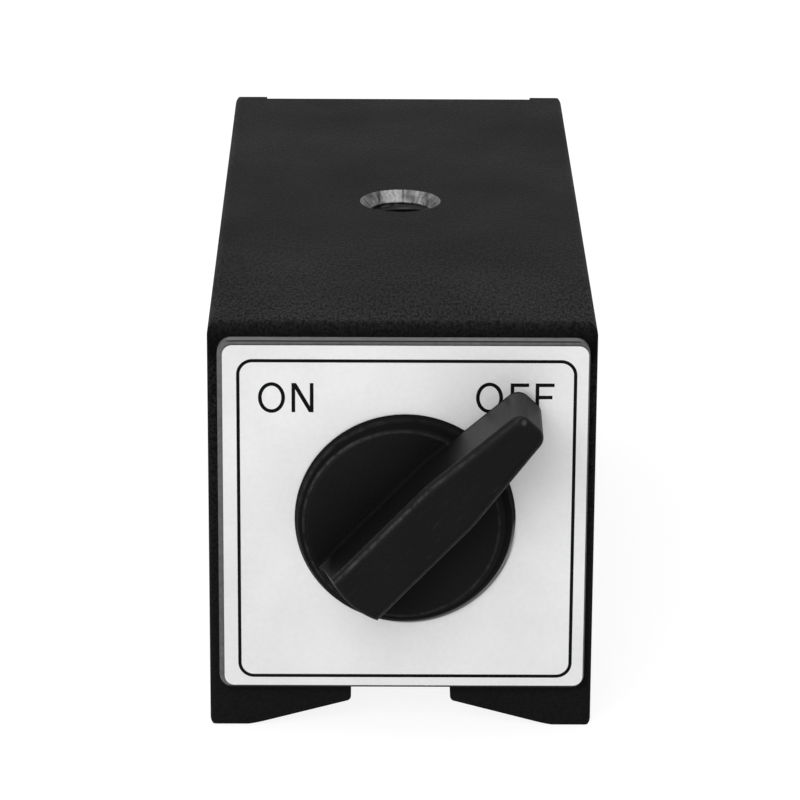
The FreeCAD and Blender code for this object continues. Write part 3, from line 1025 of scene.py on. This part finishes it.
def grow(tree: bpy.types.NodeTree, name: str, values: dict[str, object]) -> bpy.types.Object:
    """Runs a geometry tree and keeps its result as a plain piece.

    Args:
        tree: the tree, which ends in Realize Instances and Set Material.
        name: the piece's name.
        values: the value of each of the tree's named inputs.

    Returns:
        The plain piece.
    """
    seed = new_piece(name + "_seed", bpy.data.meshes.new(name + "_seed"))
    modifier = seed.modifiers.new("grow", "NODES")
    modifier.node_group = tree
    for item in tree.interface.items_tree:
        if item.in_out == "INPUT" and item.name in values:
            modifier[item.identifier] = values[item.name]
    return applied(seed, name)


def close_tree(
        nodes: Nodes, shape: bpy.types.Node, material: bpy.types.Material, result: bpy.types.Node) -> None:
    """Ends a geometry tree with a real shape that has its material.

    Args:
        nodes: the tree's nodes.
        shape: the node that gives the shape.
        material: its material.
        result: the tree's output node.
    """
    real = nodes.add("GeometryNodeRealizeInstances", {0: shape.outputs[0]})
    painted = nodes.add("GeometryNodeSetMaterial", {0: real.outputs[0], "Material": material})
    nodes.join(painted.outputs[0], result.inputs[0])


@dataclass
class Solids:
    """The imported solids: every one keeps its shape and gets its finish.

    Attributes:
        finishes: the finish of each node.
    """

    finishes: dict[str, str]

    def dress(self, finishes: Finishes) -> None:
        """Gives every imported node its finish.

        Args:
            finishes: the materials.
        """
        for name, finish in self.finishes.items():
            finishes.coat(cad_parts[name], finish)
            LOG.info("%s: %s", name, finish)


@dataclass
class ColumnThread:
    """The thread in the top face: a helical ridge on the hole's wall under the countersink.

    Attributes:
        axis_y: where the hole's axis stands.
        top: the height of the top face.
        major: the thread's major radius.
        minor: the thread's minor radius.
        pitch: the rise of one turn.
        land: the width of the ridge's crest.
        depth: the hole's depth.
        lead: the height that the countersink takes from the top face to the major radius.
        bite: how far the ridge goes into the hole's wall.
        root_share: the width of the ridge's foot as a share of the pitch.
        end_gap: from the hole's floor to the thread's first turn.
        ring_walls: the heights of the countersink ring's inner and outer walls.
        steps: points in one turn.
    """

    axis_y: float
    top: float
    major: float = 5.0 * MM
    minor: float = 4.25 * MM
    pitch: float = 1.5 * MM
    land: float = 0.22 * MM
    depth: float = 9.0 * MM
    lead: float = 0.65 * MM
    bite: float = 0.02 * MM
    root_share: float = 0.92
    end_gap: float = 0.1 * MM
    ring_walls: tuple[float, float] = (0.15 * MM, 0.6 * MM)
    steps: int = ROUND_STEPS

    @staticmethod
    def tree(material: bpy.types.Material) -> bpy.types.NodeTree:
        """Builds the geometry tree of a threaded wall.

        Args:
            material: the ridge's material.

        Returns:
            A tree that sweeps a ridge along a helix that stands in a hole.
        """
        number = "NodeSocketFloat"
        nodes, given, result = open_group("column_thread", "GeometryNodeTree", {
            "Radius": number, "Height": number, "Turns": number, "Steps": "NodeSocketInt", "Root": number,
            "Land": number, "Ridge": number, "Place": "NodeSocketVector"}, {"Geometry": "NodeSocketGeometry"})
        take = given.outputs
        spiral = nodes.add("GeometryNodeCurveSpiral", {
            "Resolution": take["Steps"], "Rotations": take["Turns"], "Start Radius": take["Radius"],
            "End Radius": take["Radius"], "Height": take["Height"]})
        turned = nodes.add("GeometryNodeSetCurveNormal", {0: spiral.outputs[0]}, mode="Z_UP")
        profile = nodes.add("GeometryNodeCurvePrimitiveQuadrilateral", {
            "Height": take["Ridge"], "Bottom Width": take["Root"], "Top Width": take["Land"], "Offset": 0.0},
            mode="TRAPEZOID")
        laid = nodes.add("GeometryNodeTransform", {
            0: profile.outputs[0], "Rotation": (0.0, 0.0, math.pi / 2)})
        swept = nodes.add("GeometryNodeCurveToMesh", {
            "Curve": turned.outputs[0], "Profile Curve": laid.outputs[0], "Fill Caps": True})
        stood = nodes.add("GeometryNodeTransform", {0: swept.outputs[0], "Translation": take["Place"]})
        close_tree(nodes, stood, material, result)
        return nodes.tree

    def build(self, finishes: Finishes) -> None:
        """Builds the ridge and the countersink's inner ring.

        Args:
            finishes: the materials.
        """
        ridge = self.major - self.minor
        reach = ridge + self.bite
        low = self.top - self.depth + self.pitch / 2 + self.end_gap
        high = self.top - self.lead - ridge - self.pitch / 2
        thread = grow(self.tree(finishes.materials["thread_steel"]), "column_thread", {
            "Radius": self.minor + reach / 2, "Height": high - low, "Turns": (high - low) / self.pitch,
            "Steps": self.steps, "Root": self.pitch * self.root_share, "Land": self.land, "Ridge": reach,
            "Place": (0.0, self.axis_y, low)})
        LOG.info("column thread: %d faces", len(thread.data.polygons))
        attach(thread, BASE)
        ring = new_piece("countersink_ring", self.ring_mesh(ridge))
        finishes.coat(ring, "body_paint")
        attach(ring, BASE)
        LOG.info("countersink ring: %d faces", len(ring.data.polygons))

    def ring_mesh(self, ridge: float) -> bpy.types.Mesh:
        """Makes the part of the countersink that the thread's first turn carries.

        Args:
            ridge: the thread's depth.

        Returns:
            A closed ring with a sloping top, from the major radius to the minor one.
        """
        z = self.top - self.lead
        inner, outer = self.ring_walls
        wall = self.major + self.bite / 2
        corners = ((wall, z), (self.minor, z - ridge),
                   (self.minor, z - ridge - inner), (wall, z - ridge - outer))
        build = bmesh.new()
        count = 2 * self.steps
        band(build, [[build.verts.new((r * math.cos(a), self.axis_y + r * math.sin(a), h))
                      for a in (math.tau * i / count for i in range(count))] for r, h in corners])
        return mesh_of(build, "countersink_ring")


@dataclass(frozen=True)
class Cell:
    """The box that a letter or a stroke fills.

    Attributes:
        left: its left side.
        right: its right side.
        low: its foot.
        high: its top.
    """

    left: float
    right: float
    low: float
    high: float


@dataclass
class Label:
    """The printing on the label: a border line and the words at the knob's two places.

    Attributes:
        front: the Y of the label's face.
        ink: the thickness of the printing.
        border: the border line's middle.
        border_round: the border's corner radius.
        border_line: the border line's width.
        arc_steps: the steps in a corner of the border.
        oval_steps: the steps round an O.
        stroke: the width of a letter's stroke.
        slant: the width of the N's slanting stroke, level across it, over that of a stroke.
        bar_height: the height of the F's lower bar as a share of the letter's.
        bar_short: how much shorter that bar is than the upper one.
    """

    front: float
    ink: float = 0.02 * MM
    border: Cell = Cell(-20.99 * MM, 22.09 * MM, 7.89 * MM, 51.19 * MM)
    border_round: float = 1.85 * MM
    border_line: float = 0.43 * MM
    arc_steps: int = 12
    oval_steps: int = 64
    stroke: float = 0.47 * MM
    slant: float = 1.25
    bar_height: float = 0.52
    bar_short: float = 0.25 * MM

    def at(self, x: float, z: float) -> Vector:
        """A point of the printing's face."""
        return Vector((x, self.front - self.ink, z))

    def outline(self, grow_by: float) -> list[Vector]:
        """The border's rounded outline, moved out by a distance.

        Args:
            grow_by: how far outside the middle of the line it runs.

        Returns:
            Its points.
        """
        r = self.border_round
        left, right = self.border.left + r, self.border.right - r
        low, high = self.border.low + r, self.border.high - r
        points = []
        for x, z, start in ((right, high, 0), (left, high, 90), (left, low, 180), (right, low, 270)):
            for i in range(self.arc_steps + 1):
                a = math.radians(start + 90 * i / self.arc_steps)
                points.append(self.at(x + (r + grow_by) * math.cos(a), z + (r + grow_by) * math.sin(a)))
        return points

    def letter_o(self, build: bmesh.types.BMesh, cell: Cell) -> None:
        """Adds an O as an elliptical ring.

        Args:
            build: the bmesh that takes it.
            cell: the box that it fills.
        """
        x, z = (cell.left + cell.right) / 2, (cell.low + cell.high) / 2
        a, b = (cell.right - cell.left) / 2, (cell.high - cell.low) / 2
        rings = [[self.at(x + (a - inset) * math.cos(t), z + (b - inset) * math.sin(t))
                  for t in (math.tau * i / self.oval_steps for i in range(self.oval_steps))]
                 for inset in (self.stroke, 0.0)]
        strip(build, rings[0], rings[1], Vector((0, self.ink, 0)))

    def bar(self, build: bmesh.types.BMesh, cell: Cell) -> None:
        """Adds an upright or level stroke.

        Args:
            build: the bmesh that takes it.
            cell: the box that it fills.
        """
        corners = ((cell.left, cell.low), (cell.right, cell.low),
                   (cell.right, cell.high), (cell.left, cell.high))
        slab(build, [self.at(*corner) for corner in corners], Vector((0, self.ink, 0)))

    def letter_n(self, build: bmesh.types.BMesh, cell: Cell) -> None:
        """Adds an N of two upright strokes and a slanting one a little behind their face.

        Args:
            build: the bmesh that takes it.
            cell: the box that it fills.
        """
        width, wide = self.stroke, self.slant * self.stroke
        self.bar(build, Cell(cell.left, cell.left + width, cell.low, cell.high))
        self.bar(build, Cell(cell.right - width, cell.right, cell.low, cell.high))
        corners = ((cell.left, cell.high), (cell.right - wide, cell.low),
                   (cell.right, cell.low), (cell.left + wide, cell.high))
        back = Vector((0, 0.1 * self.ink, 0))
        slab(build, [self.at(*corner) + back for corner in corners], 9 * back)

    def letter_f(self, build: bmesh.types.BMesh, cell: Cell) -> None:
        """Adds an F of one upright and two level strokes.

        Args:
            build: the bmesh that takes it.
            cell: the box that it fills.
        """
        width = self.stroke
        middle = cell.low + self.bar_height * (cell.high - cell.low)
        inner = cell.left + width
        self.bar(build, Cell(cell.left, inner, cell.low, cell.high))
        self.bar(build, Cell(inner, cell.right, cell.high - width, cell.high))
        self.bar(build, Cell(inner, cell.right - self.bar_short, middle - width / 2, middle + width / 2))

    def build(self, finishes: Finishes) -> None:
        """Builds the border and the words.

        Args:
            finishes: the materials.
        """
        border, on, off = bmesh.new(), bmesh.new(), bmesh.new()
        half = self.border_line / 2
        strip(border, self.outline(-half), self.outline(half), Vector((0, self.ink, 0)))
        self.letter_o(on, Cell(-18.43 * MM, -14.98 * MM, 44.18 * MM, 48.3 * MM))
        self.letter_n(on, Cell(-14.15 * MM, -11.34 * MM, 44.28 * MM, 48.2 * MM))
        self.letter_o(off, Cell(9.41 * MM, 12.86 * MM, 44.23 * MM, 48.35 * MM))
        self.letter_f(off, Cell(13.81 * MM, 16.18 * MM, 44.33 * MM, 48.25 * MM))
        self.letter_f(off, Cell(17.01 * MM, 19.42 * MM, 44.33 * MM, 48.25 * MM))
        for name, build in (("label_border", border), ("label_on", on), ("label_off", off)):
            piece = new_piece(name, mesh_of(build, name))
            finishes.coat(piece, "print_black")
            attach(piece, BASE)
            LOG.info("%s: %d faces", name, len(piece.data.polygons))


@dataclass
class RearCover:
    """The rear plate with countersunk holes, and its four cross-recess screws.

    Attributes:
        inset: from the plate's sides to a screw's axis.
        head: the screw head's radius.
        shank: the radius under the head.
        cone_gap: how much wider than the head its hole is.
        cone_depth: the depth of the hole's cone in the plate.
        cone_over: how far the cutting cone stands out of the plate's face.
        weld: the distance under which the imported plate's points are joined.
        sunk: how far the head lies under the plate's face.
        slot_width: the width of the cross recess.
        slot_reach: the recess's length across the head.
        slot_depth: its depth.
        second_depth: the second arm's depth as a share of the first's.
    """

    inset: float = 5.0 * MM
    head: float = 2.6 * MM
    shank: float = 1.5 * MM
    cone_gap: float = 0.1 * MM
    cone_depth: float = 1.0 * MM
    cone_over: float = 0.5 * MM
    weld: float = 0.001 * MM
    sunk: float = 0.08 * MM
    slot_width: float = 0.6 * MM
    slot_reach: float = 2.7 * MM
    slot_depth: float = 0.75 * MM
    second_depth: float = 0.95

    def places(self) -> tuple[Vector, Vector]:
        """The middle of the plate's face and the screws' spacing across and up."""
        low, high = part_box("rear_plate")
        middle = Vector(((low.x + high.x) / 2, high.y, (low.z + high.z) / 2))
        return middle, Vector((high.x - low.x - 2 * self.inset, 0, high.z - low.z - 2 * self.inset))

    def plate(self) -> bpy.types.Object:
        """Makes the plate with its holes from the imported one.

        Returns:
            The plate's piece.
        """
        build = bmesh.new()
        build.from_mesh(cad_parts["rear_plate"].data)
        bmesh.ops.remove_doubles(build, verts=build.verts, dist=self.weld)
        plate = new_piece("rear_cover_blank", mesh_of(build, "rear_cover_blank"))
        cones = bmesh.new()
        middle, spacing = self.places()
        turn = Matrix.Rotation(-math.pi / 2, 4, "X") @ Matrix.Translation((0, 0, self.cone_over / 2))
        for sx in (-0.5, 0.5):
            for sz in (-0.5, 0.5):
                inside = Vector((sx * spacing.x, -self.cone_depth / 2, sz * spacing.z))
                bmesh.ops.create_cone(cones, cap_ends=True, segments=ROUND_STEPS,
                                      radius1=self.head + self.cone_gap - self.cone_depth,
                                      radius2=self.head + self.cone_gap + self.cone_over,
                                      depth=self.cone_depth + self.cone_over,
                                      matrix=Matrix.Translation(middle + inside) @ turn)
        cutter = new_piece("rear_cover_cutter", mesh_of(cones, "rear_cover_cutter"))
        cut = plate.modifiers.new("holes", "BOOLEAN")
        cut.object, cut.operation, cut.solver = cutter, "DIFFERENCE", "EXACT"
        bpy.context.view_layer.update()
        finished = applied(plate, "rear_cover")
        bpy.data.objects.remove(cutter)
        return finished

    @staticmethod
    def screw_tree(material: bpy.types.Material) -> bpy.types.NodeTree:
        """Builds the geometry tree of a pattern of countersunk screws.

        Args:
            material: the screws' material.

        Returns:
            A tree that sets four cross-recess heads at the corners of a rectangle.
        """
        number, vector = "NodeSocketFloat", "NodeSocketVector"
        nodes, given, result = open_group("rear_screws", "GeometryNodeTree", {
            "Across": number, "Up": number, "Head": number, "Shank": number, "Height": number,
            "Slot One": vector, "Slot Two": vector, "Slot Place": vector, "Place": vector},
            {"Geometry": "NodeSocketGeometry"})
        take = given.outputs
        grid = nodes.add("GeometryNodeMeshGrid", {
            "Size X": take["Across"], "Size Y": take["Up"], "Vertices X": 2, "Vertices Y": 2})
        cut = nodes.add("GeometryNodeMeshCone", {
            "Vertices": ROUND_STEPS, "Radius Top": take["Head"], "Radius Bottom": take["Shank"],
            "Depth": take["Height"]})
        for name in ("Slot One", "Slot Two"):
            arm = nodes.add("GeometryNodeMeshCube", {"Size": take[name]})
            sunk = nodes.add("GeometryNodeTransform", {0: arm.outputs[0], "Translation": take["Slot Place"]})
            cut = nodes.add("GeometryNodeMeshBoolean", {
                "Mesh 1": cut.outputs[0], "Mesh 2": sunk.outputs[0]}, operation="DIFFERENCE")
        dotted = nodes.add("GeometryNodeInstanceOnPoints", {
            "Points": grid.outputs[0], "Instance": cut.outputs[0]})
        stood = nodes.add("GeometryNodeTransform", {
            0: dotted.outputs[0], "Rotation": (-math.pi / 2, 0.0, 0.0), "Translation": take["Place"]})
        close_tree(nodes, stood, material, result)
        return nodes.tree

    def build(self, finishes: Finishes) -> None:
        """Builds the plate and its screws.

        Args:
            finishes: the materials.
        """
        plate = self.plate()
        finishes.coat(plate, "plate_steel")
        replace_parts(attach(plate, BASE), "rear_plate")
        LOG.info("rear cover: %d faces", len(plate.data.polygons))
        middle, spacing = self.places()
        height = self.head - self.shank - 0.15 * MM
        arm = self.slot_depth * 2
        screws = grow(self.screw_tree(finishes.materials["zinc_screw"]), "rear_screws", {
            "Across": spacing.x, "Up": spacing.z, "Head": self.head, "Shank": self.shank, "Height": height,
            "Slot One": (self.slot_width, self.slot_reach, arm),
            "Slot Two": (self.slot_reach, self.slot_width, self.second_depth * arm),
            "Slot Place": (0.0, 0.0, height), "Place": middle - Vector((0, self.sunk + height, 0))})
        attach(screws, BASE)
        LOG.info("rear screws: %d faces", len(screws.data.polygons))


@dataclass
class Studio:
    """A pale floor, soft lamps and the camera at the photograph's place.

    Attributes:
        front: the Y of the body's front face.
        eye: the camera's place from the front face's foot.
        pitch_deg: how far it looks down.
        yaw_deg: how far it turns to the right.
        roll_deg: how far it leans.
        focal_share: the focal length over the picture's width.
        aim: what the lamps point at.
    """

    front: float
    eye: tuple[float, float, float] = (-3.7215 * MM, -502.551 * MM, 217.1645 * MM)
    pitch_deg: float = 18.87435
    yaw_deg: float = 0.39194
    roll_deg: float = 0.32162
    focal_share: float = 4143.811 / 800
    aim: tuple[float, float, float] = (0.0, 0.0, 0.03)

    def camera(self) -> None:
        """Makes the camera and sets it as the scene's."""
        pitch, yaw, roll = (math.radians(v) for v in (self.pitch_deg, self.yaw_deg, self.roll_deg))
        ahead = Vector((math.sin(yaw) * math.cos(pitch), math.cos(yaw) * math.cos(pitch), -math.sin(pitch)))
        right = Vector((math.cos(yaw), -math.sin(yaw), 0.0))
        up = right.cross(ahead)
        leaning = (math.cos(roll) * right + math.sin(roll) * up,
                   math.cos(roll) * up - math.sin(roll) * right, -ahead)
        data = bpy.data.cameras.new("camera")
        data.sensor_width = 36.0
        data.lens = self.focal_share * data.sensor_width
        data.clip_start, data.clip_end = 0.01, 50.0
        camera = bpy.data.objects.new("camera", data)
        bpy.context.scene.collection.objects.link(camera)
        place = Vector(self.eye) + Vector((0, self.front, 0))
        camera.matrix_world = Matrix.Translation(place) @ Matrix(leaning).transposed().to_4x4()
        bpy.context.scene.camera = camera

    @staticmethod
    def seen_white(nodes: Nodes, lit: Socket, seen: Socket) -> Socket:
        """Shows one shader to the eye and to mirrors, and another to the light.

        Args:
            nodes: the material's or the world's nodes.
            lit: the shader that lights the scene.
            seen: the shader that camera, glossy and transmission rays meet.

        Returns:
            The mixed shader's socket.
        """
        path = nodes.add("ShaderNodeLightPath").outputs
        straight = nodes.maths("MAXIMUM", path["Is Camera Ray"], path["Is Glossy Ray"])
        seen_by = nodes.maths("MAXIMUM", straight, path["Is Transmission Ray"])
        return nodes.add("ShaderNodeMixShader", {0: seen_by, 1: lit, 2: seen}).outputs[0]

    def floor(
            self, glow: float = 0.88, lit_tone: float = 0.28, share: float = 0.19, size: float = 8.0) -> None:
        """Lays the floor: white to the eye, with the base's soft shadow left on it.

        Args:
            glow: the light that the eye sees near the base besides the lit floor; it is 1 far off.
            lit_tone: how much light the floor throws back at the base.
            share: the part of the light on the floor that the eye sees.
            size: the floor's side in metres.
        """
        build = bmesh.new()
        bmesh.ops.create_grid(build, x_segments=1, y_segments=1, size=size / 2)
        mesh = mesh_of(build, "floor")
        floor = new_piece("floor", mesh)
        material = bpy.data.materials.new("floor_white")
        material.use_nodes = True
        nodes = Nodes(material.node_tree)
        material.node_tree.nodes.remove(material.node_tree.nodes["Principled BSDF"])
        lit = nodes.add("ShaderNodeBsdfDiffuse", {"Color": rgba((lit_tone,) * 3)})
        dim = nodes.add("ShaderNodeBsdfDiffuse", {"Color": rgba((share,) * 3)})
        place = nodes.add("ShaderNodeTexCoord").outputs["Object"]
        near, far = 0.3, 1.0
        strength = nodes.step(nodes.measure("LENGTH", place), near, far, glow, 1.0)
        light = nodes.add("ShaderNodeEmission", {"Color": rgba(WHITE), "Strength": strength})
        both = nodes.add("ShaderNodeAddShader", {0: dim.outputs[0], 1: light.outputs[0]})
        mixed = self.seen_white(nodes, lit.outputs[0], both.outputs[0])
        nodes.join(mixed, material.node_tree.nodes["Material Output"].inputs[0])
        floor.data.materials.append(material)

    def world(self, strength: float = 0.40) -> None:
        """Fills the room with even light and shows white beyond the floor.

        Args:
            strength: the even light's strength.
        """
        world = bpy.data.worlds.new("studio")
        bpy.context.scene.world = world
        world.use_nodes = True
        nodes = Nodes(world.node_tree)
        even = world.node_tree.nodes["Background"]
        even.inputs["Color"].default_value = rgba(WHITE)
        even.inputs["Strength"].default_value = strength
        white = nodes.add("ShaderNodeBackground", {"Color": rgba(WHITE), "Strength": 1.0})
        mixed = self.seen_white(nodes, even.outputs[0], white.outputs[0])
        nodes.join(mixed, world.node_tree.nodes["World Output"].inputs[0])

    def lamp(self, name: str, place: Sequence[float], side: float, watts: float) -> None:
        """Hangs a soft square lamp.

        Args:
            name: the lamp's name.
            place: where it hangs.
            side: its width and height.
            watts: its power.
        """
        data = bpy.data.lights.new(name, "AREA")
        data.shape, data.size, data.energy = "SQUARE", side, watts
        lamp = bpy.data.objects.new(name, data)
        bpy.context.scene.collection.objects.link(lamp)
        lamp.location = Vector(place)
        lamp.rotation_euler = (Vector(self.aim) - Vector(place)).to_track_quat("-Z", "Y").to_euler()

    def build(self) -> None:
        """Builds the floor, the light and the camera."""
        self.floor()
        self.world()
        self.lamp("overhead", (-0.25, 0.25, 1.3), 1.4, 8.5)
        self.lamp("front_fill", (-0.5, -1.5, 0.9), 1.2, 22.5)
        bpy.context.scene.view_settings.view_transform = "Standard"
        self.camera()
        LOG.info("studio: floor, world, 2 lamps and camera")


NODE_FINISHES = {
    "left_pole": "body_paint", "right_pole": "body_paint", "top_spacer": "body_paint",
    "bottom_spacer": "seam_brass", "front_plate": "plate_steel", "front_label": "label_aluminium",
    "front_bearing": "bearing_bronze", "stop_pin": "spindle_steel", "rear_plate": "plate_steel",
    "rear_bearing": "bearing_bronze", "disc_spring": "spring_steel", "knob": "knob_plastic",
    "spindle": "spindle_steel", "cross_pin": "spindle_steel", "rotor_front_cap": "cap_brass",
    "rotor_rear_cap": "cap_brass", "magnet_blocks": "ferrite", "upper_rotor_pole": "soft_iron",
    "lower_rotor_pole": "soft_iron",
}


def main() -> None:
    """Builds the base's dress and its studio, piece by piece."""
    logging.basicConfig(level=logging.INFO, format="%(message)s")
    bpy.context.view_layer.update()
    low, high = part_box("left_pole")
    hole_y = (low.y + high.y) / 2
    finishes = Finishes(hole_y)
    Solids(NODE_FINISHES).dress(finishes)
    ColumnThread(axis_y=hole_y, top=high.z).build(finishes)
    Label(front=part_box("front_label")[0].y).build(finishes)
    RearCover().build(finishes)
    Studio(front=low.y).build()


if __name__ == "__main__":
    main()
